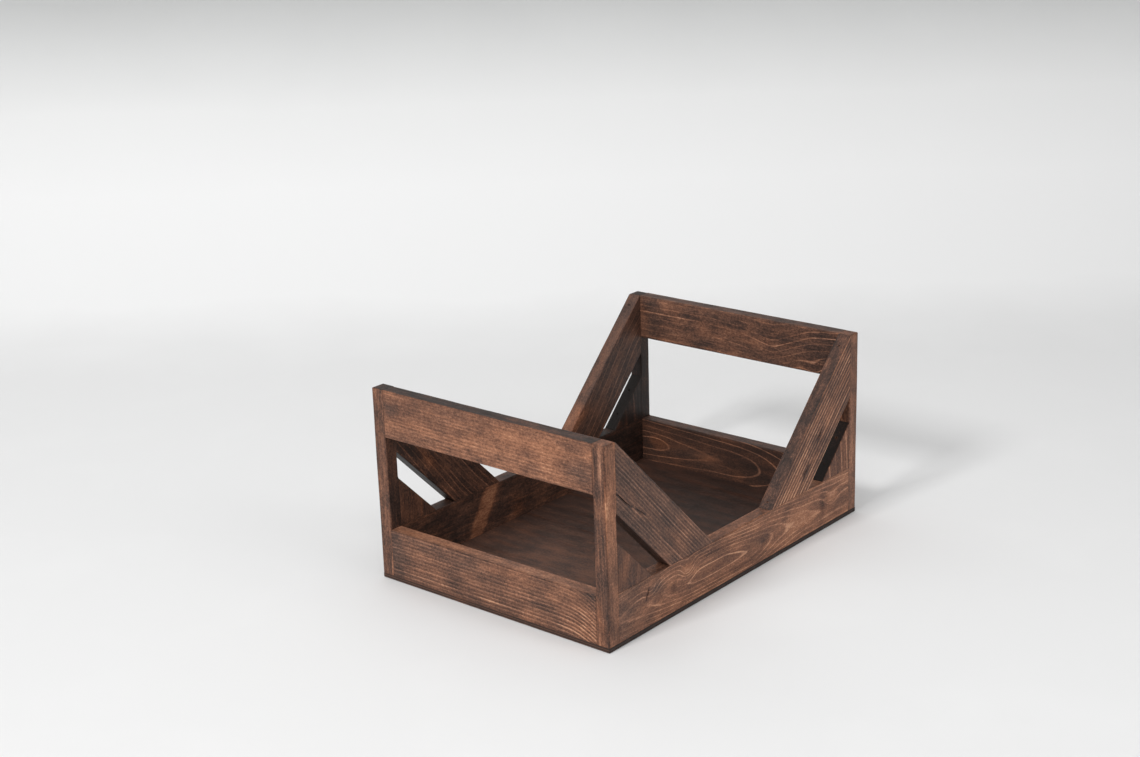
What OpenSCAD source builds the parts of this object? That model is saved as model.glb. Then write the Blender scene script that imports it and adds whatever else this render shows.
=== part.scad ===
// Album stand: an open, low-sided timber crate. Two post-and-rail end frames are joined
// by two low side rails, and each side is stiffened by a pair of 45 degree braces with a
// triangular gusset under each, so that the sides form a wide V. A plywood panel closes
// the underside. Origin: centre of the footprint, on the surface the stand rests on.
// X runs across the stand, Y along it (front end frame at -Y) and Z up.

/* [Overall size] */
// Outside width, across the end frames
stand_w = 355; // [330:1:420]
// Outside length, from end frame to end frame
stand_l = 515; // [500:1:650]
// Height to the top of the end frames
stand_h = 245; // [230:1:255]

/* [Timber] */
// Thickness of every board, and of the square posts both ways
board_t = 18; // [16:0.5:20]
// Width of the rails and of the braces
board_w = 60; // [56:1:64]
// Thickness of the plywood bottom panel
panel_t = 6; // [4:0.5:9]

/* [Braces and gussets] */
// Level flat at the top of each brace, beside its post
brace_flat = 1; // [0.5:0.5:4]
// Length of the two square edges of each gusset
gusset_leg = 62; // [54:1:68]

/* [Dowels] */
// Diameter of the beech dowels
dowel_d = 6; // [5:0.5:7]
// Length of the beech dowels
dowel_l = 30; // [26:1:36]
// Length of each dowel that sits in the post
dowel_in_post = 11; // [9:0.5:12]
// Chamfer on both ends of each dowel
dowel_chamfer = 1; // [0.5:0.25:1.5]
// Glue room past each end of a dowel
dowel_room = 0.5; // [0.25:0.25:1]

/* [Brads] */
// Length of the brads, head included
brad_l = 28; // [22:1:30]
// Diameter of the brad shank
brad_d = 1.4; // [1:0.1:1.8]
// Diameter of the brad head
brad_head_d = 2.4; // [2:0.1:3]
// Thickness of the brad head
brad_head_t = 0.8; // [0.5:0.1:1.2]
// Depth of the brad head below the surface
brad_set = 1.2; // [0.5:0.1:2]
// Height of the foot brad of each brace above the side rail
foot_brad_rise = 7; // [5:0.5:12]
// Distance of the head brad of each brace below the top of the stand
head_brad_drop = 12; // [9:0.5:16]
// Number of brads up into each of the front and back bottom rails
end_brads = 4; // [2:1:6]
// Number of brads up into each side rail
side_brads = 6; // [2:1:8]

/* [Hidden] */
$fn = 48;
// Overshoot of a brad's entry hole past the surface that it opens
cut = 4;
half_w = stand_w / 2;
half_l = stand_l / 2;
// Inner faces of the side rails and of the end frames
inner_x = half_w - board_t;
inner_y = half_l - board_t;
// Middle of the thickness of the side walls and of the end frames
mid_x = half_w - board_t / 2;
mid_y = half_l - board_t / 2;
// Top of the four low rails, where the braces and gussets stand
low_rail_top = panel_t + board_w;
// Underside of the two top rails
top_rail_z = stand_h - board_w;
// Each 45 degree edge is given by the sum of depth in from the end face and height
brace_upper = stand_h + board_t + brace_flat;
brace_lower = brace_upper - board_w * sqrt(2);
gusset_slope = low_rail_top + board_t + gusset_leg;
// Heights of the dowels in a joint, as shares of the board's width
end_dowel_shares = [0.2, 0.8];
side_dowel_shares = [0.4, 0.6];
// Distance of each gusset brad from the square edge beside it, as a share of the leg
gusset_brad_share = 0.28;

// ---- Placement: a corner piece is drawn at the right back corner, then mirrored ----

module at_corner(side_x, side_y)
    mirror([side_x < 0 ? 1 : 0, 0, 0])
        mirror([0, side_y < 0 ? 1 : 0, 0])
            children();

module at_all_corners()
    for (side_x = [-1, 1])
        for (side_y = [-1, 1])
            at_corner(side_x, side_y)
                children();

// Stands an outline of [depth in from the end face, height] points in the side wall
module in_side_wall()
    translate([inner_x, half_l, 0])
        mirror([0, 1, 0])
            rotate([90, 0, 90])
                linear_extrude(board_t)
                    children();

// ---- Dowels: drawn along Z, with the joint at Z = 0 and the post on the +Z side ----

module dowel()
    color("burlywood")
        translate([0, 0, dowel_in_post - dowel_l])
            rotate_extrude()
                polygon([
                    [0, 0],
                    [dowel_d / 2 - dowel_chamfer, 0],
                    [dowel_d / 2, dowel_chamfer],
                    [dowel_d / 2, dowel_l - dowel_chamfer],
                    [dowel_d / 2 - dowel_chamfer, dowel_l],
                    [0, dowel_l]
                ]);

module dowel_hole()
    translate([0, 0, dowel_in_post - dowel_l - dowel_room])
        cylinder(d = dowel_d, h = dowel_l + 2 * dowel_room);

// The joint between a post and the end-frame rail whose underside is at rail_z
module at_end_dowels(rail_z)
    for (share = end_dowel_shares)
        translate([inner_x, mid_y, rail_z + share * board_w])
            rotate([0, 90, 0])
                children();

// The joint between a post and its side rail
module at_side_dowels()
    for (share = side_dowel_shares)
        translate([mid_x, inner_y, panel_t + share * board_w])
            rotate([-90, 0, 0])
                children();

// ---- Brads: drawn pointing down from a surface at Z = 0 ----

module brad()
    color("lightsteelblue")
        translate([0, 0, -brad_set - brad_l])
            rotate_extrude()
                polygon([
                    [0, 0],
                    [brad_d / 2, brad_d],
                    [brad_d / 2, brad_l - brad_head_t],
                    [brad_head_d / 2, brad_l - brad_head_t],
                    [brad_head_d / 2, brad_l],
                    [0, brad_l]
                ]);

module brad_hole() {
    brad();
    translate([0, 0, -brad_set])
        cylinder(d = brad_head_d, h = brad_set + cut);
}

// Square to the upper edge of a brace: one into the side rail, one into the post
module at_brace_brads()
    for (height = [low_rail_top + foot_brad_rise, stand_h - head_brad_drop])
        translate([mid_x, half_l - brace_upper + height, height])
            rotate([45, 0, 0])
                children();

// Through the slope of a gusset: one down into the side rail, one level into the post
module at_gusset_brads() {
    short = gusset_brad_share * gusset_leg;
    long = gusset_leg - short;
    translate([mid_x, inner_y - long, low_rail_top + short])
        children();
    translate([mid_x, inner_y - short, low_rail_top + long])
        rotate([90, 0, 0])
            children();
}

// Up through the panel, evenly spaced along a bottom rail
module at_end_panel_brads(side_y)
    for (i = [1 : end_brads])
        translate([((2 * i - 1) / end_brads - 1) * inner_x, side_y * mid_y, 0])
            rotate([180, 0, 0])
                children();

module at_side_panel_brads(side_x)
    for (i = [1 : side_brads])
        translate([side_x * mid_x, ((2 * i - 1) / side_brads - 1) * inner_y, 0])
            rotate([180, 0, 0])
                children();

// ---- Timber pieces ----

module bottom_panel()
    color("#3b2720")
        difference() {
            translate([-half_w, -half_l, 0])
                cube([stand_w, stand_l, panel_t]);
            for (side = [-1, 1]) {
                at_end_panel_brads(side)
                    brad_hole();
                at_side_panel_brads(side)
                    brad_hole();
            }
        }

module post(side_x, side_y)
    color("#6b4230")
        at_corner(side_x, side_y)
            difference() {
                translate([inner_x, inner_y, panel_t])
                    cube([board_t, board_t, stand_h - panel_t]);
                for (rail_z = [panel_t, top_rail_z])
                    at_end_dowels(rail_z)
                        dowel_hole();
                at_side_dowels()
                    dowel_hole();
                at_brace_brads()
                    brad_hole();
                at_gusset_brads()
                    brad_hole();
            }

module end_rail(side_y, rail_z)
    difference() {
        translate([-inner_x, side_y * mid_y - board_t / 2, rail_z])
            cube([2 * inner_x, board_t, board_w]);
        for (side_x = [-1, 1])
            at_corner(side_x, side_y)
                at_end_dowels(rail_z)
                    dowel_hole();
    }

module top_rail(side_y)
    color("#734631")
        end_rail(side_y, top_rail_z);

module bottom_rail(side_y)
    color("#734631")
        difference() {
            end_rail(side_y, panel_t);
            at_end_panel_brads(side_y)
                brad_hole();
        }

module side_rail(side_x)
    color("#6e432e")
        difference() {
            translate([side_x * mid_x - board_t / 2, -inner_y, panel_t])
                cube([board_t, 2 * inner_y, board_w]);
            for (side_y = [-1, 1])
                at_corner(side_x, side_y) {
                    at_side_dowels()
                        dowel_hole();
                    at_brace_brads()
                        brad_hole();
                    at_gusset_brads()
                        brad_hole();
                }
            at_side_panel_brads(side_x)
                brad_hole();
        }

module brace(side_x, side_y)
    color("#5d3d2f")
        at_corner(side_x, side_y)
            difference() {
                in_side_wall()
                    polygon([
                        [board_t, brace_lower - board_t],
                        [board_t, stand_h],
                        [brace_upper - stand_h, stand_h],
                        [brace_upper - low_rail_top, low_rail_top],
                        [brace_lower - low_rail_top, low_rail_top]
                    ]);
                at_brace_brads()
                    brad_hole();
            }

module gusset(side_x, side_y)
    color("#7a4a2e")
        at_corner(side_x, side_y)
            difference() {
                in_side_wall()
                    polygon([
                        [board_t, low_rail_top],
                        [board_t, gusset_slope - board_t],
                        [gusset_slope - low_rail_top, low_rail_top]
                    ]);
                at_gusset_brads()
                    brad_hole();
            }

// ---- Fastener groups: separate solids that share a node ----

module end_frame_dowels(side_y)
    for (side_x = [-1, 1])
        for (rail_z = [panel_t, top_rail_z])
            at_corner(side_x, side_y)
                at_end_dowels(rail_z)
                    dowel();

module side_rail_dowels()
    at_all_corners()
        at_side_dowels()
            dowel();

module brace_brads()
    at_all_corners()
        at_brace_brads()
            brad();

module gusset_brads()
    at_all_corners()
        at_gusset_brads()
            brad();

module panel_brads()
    for (side = [-1, 1]) {
        at_end_panel_brads(side)
            brad();
        at_side_panel_brads(side)
            brad();
    }

bottom_panel();
post(-1, -1);  // post_front_left
post(1, -1);  // post_front_right
post(-1, 1);  // post_back_left
post(1, 1);  // post_back_right
top_rail(-1);  // front_top_rail
bottom_rail(-1);  // front_bottom_rail
top_rail(1);  // back_top_rail
bottom_rail(1);  // back_bottom_rail
side_rail(-1);  // side_rail_left
side_rail(1);  // side_rail_right
brace(-1, -1);  // brace_front_left
brace(1, -1);  // brace_front_right
brace(-1, 1);  // brace_back_left
brace(1, 1);  // brace_back_right
gusset(-1, -1);  // gusset_front_left
gusset(1, -1);  // gusset_front_right
gusset(-1, 1);  // gusset_back_left
gusset(1, 1);  // gusset_back_right
end_frame_dowels(-1);  // front_frame_dowels
end_frame_dowels(1);  // back_frame_dowels
side_rail_dowels();
brace_brads();
gusset_brads();
panel_brads();
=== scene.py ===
import functools
import math
from collections import namedtuple

import bmesh
import bpy
import numpy as np
from mathutils import Matrix, Vector


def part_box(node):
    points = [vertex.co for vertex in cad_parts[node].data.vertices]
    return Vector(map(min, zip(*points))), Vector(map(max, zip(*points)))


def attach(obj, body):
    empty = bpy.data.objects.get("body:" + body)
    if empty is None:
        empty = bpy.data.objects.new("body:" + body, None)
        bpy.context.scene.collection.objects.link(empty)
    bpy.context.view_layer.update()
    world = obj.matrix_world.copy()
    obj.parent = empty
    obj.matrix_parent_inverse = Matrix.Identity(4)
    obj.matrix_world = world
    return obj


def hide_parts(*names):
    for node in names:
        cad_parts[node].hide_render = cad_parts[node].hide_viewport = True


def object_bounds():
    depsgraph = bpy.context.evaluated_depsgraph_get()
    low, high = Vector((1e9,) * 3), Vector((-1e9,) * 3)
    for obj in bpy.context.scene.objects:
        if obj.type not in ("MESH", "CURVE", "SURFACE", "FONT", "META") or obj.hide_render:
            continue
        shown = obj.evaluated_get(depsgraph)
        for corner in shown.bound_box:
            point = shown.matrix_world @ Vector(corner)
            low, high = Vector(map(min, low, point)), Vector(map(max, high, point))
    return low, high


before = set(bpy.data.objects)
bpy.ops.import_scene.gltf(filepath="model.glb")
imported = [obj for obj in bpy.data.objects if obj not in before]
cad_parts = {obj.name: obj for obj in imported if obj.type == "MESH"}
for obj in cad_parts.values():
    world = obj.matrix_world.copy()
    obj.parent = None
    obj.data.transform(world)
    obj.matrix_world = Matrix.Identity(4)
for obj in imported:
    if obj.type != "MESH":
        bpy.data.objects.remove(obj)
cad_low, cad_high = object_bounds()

MM = 0.001

# ---------------------------------------------------------------------------
# Sizes, in millimetres, worked out from the frame
# ---------------------------------------------------------------------------


def box_mm(node):
    """The lowest and the highest corner of a CAD node."""
    low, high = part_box(node)
    return np.array(low) / MM, np.array(high) / MM


HALF_WIDTH, HALF_LENGTH, TOP = np.array(cad_high) / MM
PANEL_TOP = box_mm("bottom_panel")[1][2]
RAIL_LOW, RAIL_HIGH = box_mm("side_rail_right")
THICK = RAIL_HIGH[0] - RAIL_LOW[0]
LOW_RAIL_TOP = RAIL_HIGH[2]
BOARD_WIDTH = LOW_RAIL_TOP - PANEL_TOP
TOP_RAIL_LOW = box_mm("front_top_rail")[0][2]
# A 45 degree edge is given by the sum of depth in from the end face and height
BRACE_UPPER = box_mm("brace_front_right")[1][1] + HALF_LENGTH + LOW_RAIL_TOP
BRACE_LOWER = BRACE_UPPER - BOARD_WIDTH * math.sqrt(2)
GUSSET_SLOPE = box_mm("gusset_front_right")[1][1] + HALF_LENGTH + LOW_RAIL_TOP

# ---------------------------------------------------------------------------
# Camera, floor and light
# ---------------------------------------------------------------------------

# A 59 mm lens on a 36 mm sensor, seen from the front right and rolled slightly
AZIMUTH, ELEVATION, ROLL = (math.radians(angle) for angle in (40.381, 18.102, -1.812))
LENS_MM = 58.81
SENSOR_MM = 36
# Where the camera stands, from the middle of the front face's lower edge, in object widths
CAMERA_PLACE = (3.8405, -4.0772, 2.6333)


def make_camera():
    """The camera stands where the photo was taken from."""
    back = Vector((
        math.sin(AZIMUTH) * math.cos(ELEVATION),
        -math.cos(AZIMUTH) * math.cos(ELEVATION),
        math.sin(ELEVATION),
    ))
    level_right = Vector((0, 0, 1)).cross(back).normalized()
    level_up = back.cross(level_right)
    right = level_right * math.cos(ROLL) + level_up * math.sin(ROLL)
    up = level_up * math.cos(ROLL) - level_right * math.sin(ROLL)
    data = bpy.data.cameras.new("camera")
    data.lens = LENS_MM
    data.sensor_width = SENSOR_MM
    data.sensor_fit = "HORIZONTAL"
    camera = bpy.data.objects.new("camera", data)
    width = cad_high.x - cad_low.x
    place = Vector((0, cad_low.y, 0)) + Vector(CAMERA_PLACE) * width
    axes = Matrix((right, up, back)).transposed()
    camera.matrix_world = Matrix.Translation(place) @ axes.to_4x4()
    bpy.context.scene.collection.objects.link(camera)
    bpy.context.scene.camera = camera


def add_light(name, place, aim, size, power):
    """A square softbox, in metres and watts, turned to face the point it is aimed at."""
    data = bpy.data.lights.new(name, "AREA")
    data.shape = "SQUARE"
    data.size = size
    data.energy = power
    light = bpy.data.objects.new(name, data)
    light.location = place
    light.rotation_mode = "QUATERNION"
    light.rotation_quaternion = (Vector(aim) - light.location).to_track_quat("-Z", "Y")
    bpy.context.scene.collection.objects.link(light)


# Name, place and point aimed at in metres, width in metres, power in watts
SOFTBOXES = [
    ("key_softbox", (-0.15, -3.9, 3.2), (0, 0, 0.12), 1.1, 126),
    ("overhead_softbox", (-0.2, 0.3, 2.4), (0, 0, 0), 1.8, 9),
    ("front_softbox", (1.6, -2.4, 2.0), (0, 0, 0.1), 1.8, 16),
    ("left_softbox", (-2.2, 0.2, 2.0), (-0.5, 1.0, 0.2), 1.5, 6),
    ("right_softbox", (2.4, 0.0, 1.6), (0, 0, 0.1), 1.2, 13),
]
FILL_STRENGTH = 0.35


def make_lights():
    for softbox in SOFTBOXES:
        add_light(*softbox)
    world = bpy.data.worlds.new("studio_fill")
    world.use_nodes = True
    background = world.node_tree.nodes["Background"]
    background.inputs["Color"].default_value = (1, 1, 1, 1)
    background.inputs["Strength"].default_value = FILL_STRENGTH
    bpy.context.scene.world = world
    bpy.context.scene.view_settings.view_transform = "Standard"


# The paper's side view, in metres: its near end, where it starts to curve up, and how it goes on
PAPER_NEAR, SWEEP_START, SWEEP_RADIUS, SWEEP_TOP = -6.0, 0.75, 1.3, 4.0
SWEEP_STEPS = 12
PAPER_HALF_WIDTH = 7.0
# The paper lies this far below the stand, so that the two faces are never in one plane
FLOOR_GAP = 0.0003


def make_backdrop():
    """One seamless pale sheet: a floor that sweeps up behind the stand, away from the camera."""
    profile = [(PAPER_NEAR, 0.0), (SWEEP_START, 0.0)]
    for step in range(1, SWEEP_STEPS + 1):
        turn = math.radians(90 * step / SWEEP_STEPS)
        forward = SWEEP_START + SWEEP_RADIUS * math.sin(turn)
        profile.append((forward, SWEEP_RADIUS * (1 - math.cos(turn))))
    profile.append((SWEEP_START + SWEEP_RADIUS, SWEEP_TOP))
    away = Vector((-math.sin(AZIMUTH), math.cos(AZIMUTH), 0))
    across = Vector((math.cos(AZIMUTH), math.sin(AZIMUTH), 0))
    points = [
        away * distance + across * side + Vector((0, 0, height - FLOOR_GAP))
        for distance, height in profile
        for side in (-PAPER_HALF_WIDTH, PAPER_HALF_WIDTH)
    ]
    faces = [(2 * i, 2 * i + 1, 2 * i + 3, 2 * i + 2) for i in range(len(profile) - 1)]
    mesh = bpy.data.meshes.new("backdrop")
    mesh.from_pydata(points, [], faces)
    mesh.shade_smooth()
    mesh.materials.append(paper_material())
    backdrop = bpy.data.objects.new("backdrop", mesh)
    bpy.context.scene.collection.objects.link(backdrop)


# ---------------------------------------------------------------------------
# Building node trees
# ---------------------------------------------------------------------------


class Tree:
    """Adds nodes to a tree. An input may be a number, a tuple or another node's output."""

    def __init__(self, tree):
        self.tree = tree

    def node(self, kind, settings=None, **inputs):
        made = self.tree.nodes.new(kind)
        for key, value in (settings or {}).items():
            setattr(made, key, value)
        for key, value in inputs.items():
            self.feed(made.inputs[key], value)
        return made

    def feed(self, socket, value):
        if isinstance(value, bpy.types.NodeSocket):
            self.tree.links.new(value, socket)
        else:
            socket.default_value = value

    def math(self, operation, *values, clamp=False):
        made = self.tree.nodes.new("ShaderNodeMath")
        made.operation = operation
        made.use_clamp = clamp
        for socket, value in zip(made.inputs, values):
            self.feed(socket, value)
        return made.outputs[0]

    def weigh(self, start, parts, clamp=False):
        """Adds to the start each value times its weight, and clamps only the end result."""
        total = start
        for value, weight in parts[:-1]:
            total = self.math("MULTIPLY_ADD", value, weight, total)
        value, weight = parts[-1]
        return self.math("MULTIPLY_ADD", value, weight, total, clamp=clamp)

    def vector(self, operation, *values):
        made = self.tree.nodes.new("ShaderNodeVectorMath")
        made.operation = operation
        for socket, value in zip(made.inputs, values):
            self.feed(socket, value)
        return made.outputs[0]

    def attribute(self, name, output):
        made = self.tree.nodes.new("ShaderNodeAttribute")
        made.attribute_name = name
        return made.outputs[output]

    def noise(self, vector, scale, detail=2.0, roughness=0.5):
        """Noise from -1 to 1, with its own stretch along each axis."""
        stretched = self.vector("MULTIPLY", vector, scale)
        made = self.node(
            "ShaderNodeTexNoise",
            Vector=stretched,
            Scale=1.0,
            Detail=detail,
            Roughness=roughness,
        )
        return self.math("MULTIPLY_ADD", made.outputs[0], 2.0, -1.0)

    def step(self, value, start, end, low=0.0, high=1.0):
        """Goes smoothly from low to high as the value goes from start to end."""
        limits = {"From Min": start, "From Max": end, "To Min": low, "To Max": high}
        smooth = {"interpolation_type": "SMOOTHSTEP"}
        return self.node("ShaderNodeMapRange", smooth, Value=value, **limits).outputs[0]

    def ramp(self, factor, stops):
        made = self.tree.nodes.new("ShaderNodeValToRGB")
        elements = made.color_ramp.elements
        elements[0].position, elements[1].position = stops[0][0], stops[-1][0]
        for position, _ in stops[1:-1]:
            elements.new(position)
        for element, (_, colour) in zip(elements, stops):
            element.color = (*colour, 1)
        self.feed(made.inputs[0], factor)
        return made.outputs["Color"]

    def mix_colour(self, factor, first, second):
        made = self.tree.nodes.new("ShaderNodeMix")
        made.data_type = "RGBA"
        self.feed(made.inputs["Factor"], factor)
        self.feed(made.inputs["A"], first)
        self.feed(made.inputs["B"], second)
        return made.outputs["Result"]


def new_material(name):
    """A material with a plain principled shader, and what is needed to feed it."""
    material = bpy.data.materials.new(name)
    material.use_nodes = True
    material.node_tree.nodes.clear()
    tree = Tree(material.node_tree)
    shader = tree.node("ShaderNodeBsdfPrincipled")
    tree.node("ShaderNodeOutputMaterial", Surface=shader.outputs[0])
    return material, tree, shader


# The paper's grey, painted lighter low on the sweep and darker higher up as light and shade, from the
# floor to the height where it stops changing, in metres
PAPER_FADE_HEIGHT = 0.5
PAPER_LIGHT_AND_SHADE_TONES = [
    (0.0, (0.825, 0.825, 0.825)),
    (0.08, (0.915, 0.915, 0.915)),
    (0.34, (0.905, 0.905, 0.905)),
    (0.60, (0.830, 0.832, 0.830)),
    (0.80, (0.690, 0.695, 0.692)),
    (1.0, (0.530, 0.535, 0.532)),
]


def paper_material():
    material, tree, shader = new_material("studio_paper")
    place = tree.node("ShaderNodeTexCoord").outputs["Object"]
    height = tree.node("ShaderNodeSeparateXYZ", Vector=place).outputs["Z"]
    smudge = tree.noise(place, (5.0, 5.0, 5.0), detail=3.0)
    level = tree.math("MULTIPLY_ADD", smudge, 0.012, height)
    # Painted light and shade: the grey grows lighter just above the floor and darker up the sweep
    colour = tree.ramp(tree.math("DIVIDE", level, PAPER_FADE_HEIGHT), PAPER_LIGHT_AND_SHADE_TONES)
    tree.feed(shader.inputs["Base Color"], colour)
    shader.inputs["Roughness"].default_value = 0.7
    shader.inputs["Specular IOR Level"].default_value = 0.2
    return material


# ---------------------------------------------------------------------------
# Stained pine
# ---------------------------------------------------------------------------

# The stain's colours, from the darkest wood to the lightest
COOL_STAIN = [
    (0.0, (0.014, 0.009, 0.007)),
    (0.25, (0.052, 0.028, 0.021)),
    (0.5, (0.140, 0.071, 0.048)),
    (0.75, (0.285, 0.150, 0.100)),
    (1.0, (0.480, 0.295, 0.205)),
]
WARM_STAIN = [
    (0.0, (0.018, 0.007, 0.004)),
    (0.25, (0.068, 0.025, 0.013)),
    (0.5, (0.187, 0.073, 0.037)),
    (0.75, (0.370, 0.160, 0.085)),
    (1.0, (0.600, 0.315, 0.180)),
]
# The plywood's dark layers, and how thick a layer is in millimetres
DARK_VENEER = (0.020, 0.013, 0.010, 1)
PLY_THICK = 1.2
# What sets one board's grain apart from another's, and Side, the painted shade and light on its narrow
# faces
GRAIN_INPUTS = ("Spacing", "Contrast", "Thinness", "Tone", "Warmth", "Side", "Fibre", "Wander", "Shift")

# Layers of noise in the wood: how fine each is along and across the grain, per millimetre
Layer = namedtuple("Layer", "along across detail roughness", defaults=(2.0, 0.5))
LAYERS = {
    "wander": Layer(0.022, 0.11, 3.0),
    "ripple": Layer(0.09, 0.5),
    "fade": Layer(0.018, 0.07),
    "chatter": Layer(0.16, 0.035),
    "streaks": Layer(0.010, 0.33, 4.0, 0.62),
    "fibres": Layer(0.05, 0.9, 3.0, 0.6),
    "clouds": Layer(0.014, 0.035, 3.0),
    "blotches": Layer(0.024, 0.055, 5.0, 0.62),
    "mottle": Layer(0.33, 0.46, 4.0, 0.75),
    "speckle": Layer(0.55, 0.9, 2.0, 0.6),
    "pitting": Layer(0.11, 1.6, 1.0),
}
# How much each layer lightens the wood. Pores and specks are the peaks of two of the layers.
LIGHTENING = {
    "streaks": 0.16,
    "fibres": 0.18,
    "mottle": 0.52,
    "pores": -0.12,
    "specks": 0.19,
    "chatter": 0.05,
    "blotches": 0.42,
}
# Brings the mean of all of them back to nothing
LIGHTENING_START = -0.026


def wood_noise(tree):
    """Every layer of noise by name, laid out in the board's own axes."""
    place = tree.attribute("board_place", "Vector")
    noise = {}
    for name, layer in LAYERS.items():
        stretch = (layer.along, layer.across, layer.across)
        noise[name] = tree.noise(place, stretch, layer.detail, layer.roughness)
    noise["pores"] = tree.step(noise["pitting"], 0.42, 0.62)
    noise["specks"] = tree.step(noise["speckle"], 0.12, 0.5)
    return noise


def growth_rings(tree, noise, inputs):
    """Light late wood from 0 to 1: each ring rises slowly and ends sharply."""
    ring = tree.math("ADD", tree.attribute("ring", "Fac"), inputs["Shift"])
    ring = tree.weigh(ring, [(noise["wander"], inputs["Wander"]), (noise["ripple"], 0.28)])
    turns = tree.math("DIVIDE", ring, inputs["Spacing"])
    uneven = tree.node("ShaderNodeTexNoise", {"noise_dimensions": "1D"}, W=turns, Scale=0.37)
    uneven = tree.math("MULTIPLY", uneven.outputs[0], inputs["Wander"])
    turns = tree.math("MULTIPLY_ADD", uneven, 0.8, turns)
    phase = tree.math("FRACT", turns)
    rise = tree.step(phase, inputs["Thinness"], 0.86)
    fall = tree.step(phase, 0.9, 1.0, 1.0, 0.0)
    line = tree.math("MULTIPLY", rise, fall)
    return tree.math("MULTIPLY", line, ring_strength(tree, noise, turns, inputs))


def ring_strength(tree, noise, turns, inputs):
    """Some years grow stronger lines than others, and every line fades here and there."""
    year = tree.math("FLOOR", turns)
    luck = tree.node("ShaderNodeTexWhiteNoise", {"noise_dimensions": "1D"}, W=year)
    luck = tree.math("MULTIPLY", tree.math("SUBTRACT", luck.outputs["Value"], 0.5), 1.3)
    strength = tree.math("MULTIPLY_ADD", luck, inputs["Wander"], 0.9)
    fade = tree.math("MULTIPLY", noise["fade"], 1.7)
    fade = tree.math("MULTIPLY_ADD", fade, inputs["Wander"], 1.0)
    return tree.math("MAXIMUM", tree.math("MULTIPLY", strength, fade), 0.15)


def wood_tone(tree, noise, line, side_light_and_shade, inputs):
    """How light the wood is, from 0 to 1, with painted shade and light on the narrow faces and painted
    shade along the arrises.
    """
    plainness = tree.math("MULTIPLY_ADD", tree.attribute("side_face", "Fac"), -0.9, 1.0)
    contrast = tree.math("MULTIPLY", inputs["Contrast"], tree.attribute("bold", "Fac"))
    contrast = tree.math("MULTIPLY", contrast, plainness)
    lines = tree.math("MULTIPLY", tree.math("SUBTRACT", line, 0.3), contrast)
    chattered = tree.math("MULTIPLY_ADD", noise["chatter"], 0.5, 1.0)
    tone = tree.math("MULTIPLY_ADD", lines, chattered, inputs["Tone"])
    detail = tree.weigh(LIGHTENING_START, [(noise[name], much) for name, much in LIGHTENING.items()])
    tone = tree.math("MULTIPLY_ADD", detail, inputs["Fibre"], tone)
    # Darkens the wood: darker patches of wood, and painted shade along cracks and in a few patches
    tone = tree.math("SUBTRACT", tone, tree.attribute("stain", "Fac"))
    tone = tree.math("ADD", tone, side_light_and_shade)
    # Painted shade along every arris, damping the highlight its rounding catches; the clouds lighten it
    # here and there
    arris_shade = tree.math("MULTIPLY_ADD", noise["clouds"], 0.3, -0.15)
    tone = tree.math("MULTIPLY_ADD", tree.attribute("edge", "Fac"), arris_shade, tone)
    return tree.math("MULTIPLY_ADD", tree.attribute("end_grain", "Fac"), -0.12, tone, clamp=True)


def wood_warmth(tree, noise, line, side_light_and_shade, inputs):
    """How red the wood is, from 0 to 1."""
    start = tree.math("ADD", inputs["Warmth"], tree.attribute("warm", "Fac"))
    parts = [(noise["blotches"], 0.8), (noise["specks"], 0.2), (side_light_and_shade, 1.5), (line, 0.2)]
    return tree.weigh(start, parts, clamp=True)


def pine_group():
    """The node group behind every board: colour, roughness and height from the board's own grain."""
    group = bpy.data.node_groups.new("stained_pine", "ShaderNodeTree")
    sockets = [(name, "INPUT", "NodeSocketFloat") for name in GRAIN_INPUTS]
    sockets.append(("Color", "OUTPUT", "NodeSocketColor"))
    sockets.append(("Roughness", "OUTPUT", "NodeSocketFloat"))
    sockets.append(("Height", "OUTPUT", "NodeSocketFloat"))
    for name, direction, kind in sockets:
        group.interface.new_socket(name, in_out=direction, socket_type=kind)
    tree = Tree(group)
    inputs = tree.node("NodeGroupInput").outputs
    output = tree.node("NodeGroupOutput").inputs
    noise = wood_noise(tree)
    line = growth_rings(tree, noise, inputs)
    # Painted shade and light on the narrow faces: Side darkens them where it is below nothing and
    # lightens them where above
    side_light_and_shade = tree.math("MULTIPLY", tree.attribute("side_face", "Fac"), inputs["Side"])

    tone = wood_tone(tree, noise, line, side_light_and_shade, inputs)
    warmth = wood_warmth(tree, noise, line, side_light_and_shade, inputs)
    cool = tree.ramp(tone, COOL_STAIN)
    warm = tree.ramp(tone, WARM_STAIN)
    tree.feed(output["Color"], tree.mix_colour(warmth, cool, warm))

    rough_parts = [(noise["fibres"], 0.05), (line, -0.07), (noise["mottle"], 0.05)]
    tree.feed(output["Roughness"], tree.weigh(0.54, rough_parts))
    relief = [(line, 0.5), (noise["fibres"], 0.3), (noise["pores"], -0.5), (noise["chatter"], 0.4)]
    tree.feed(output["Height"], tree.weigh(0.0, relief))
    return group


def ply_layers(tree):
    """Where a dark veneer shows along the cut edges of the plywood, from 0 to 1."""
    place = tree.attribute("board_place", "Vector")
    depth = tree.node("ShaderNodeSeparateXYZ", Vector=place).outputs["Z"]
    waver = tree.noise(place, (0.05, 0.05, 0.4), detail=2.0)
    depth = tree.math("MULTIPLY_ADD", waver, 0.15, depth)
    turn = tree.math("FRACT", tree.math("DIVIDE", depth, 2 * PLY_THICK))
    band = tree.math("SUBTRACT", tree.step(turn, 0.0, 0.08), tree.step(turn, 0.5, 0.58))
    return tree.math("MULTIPLY", band, tree.attribute("side_face", "Fac"))


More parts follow.
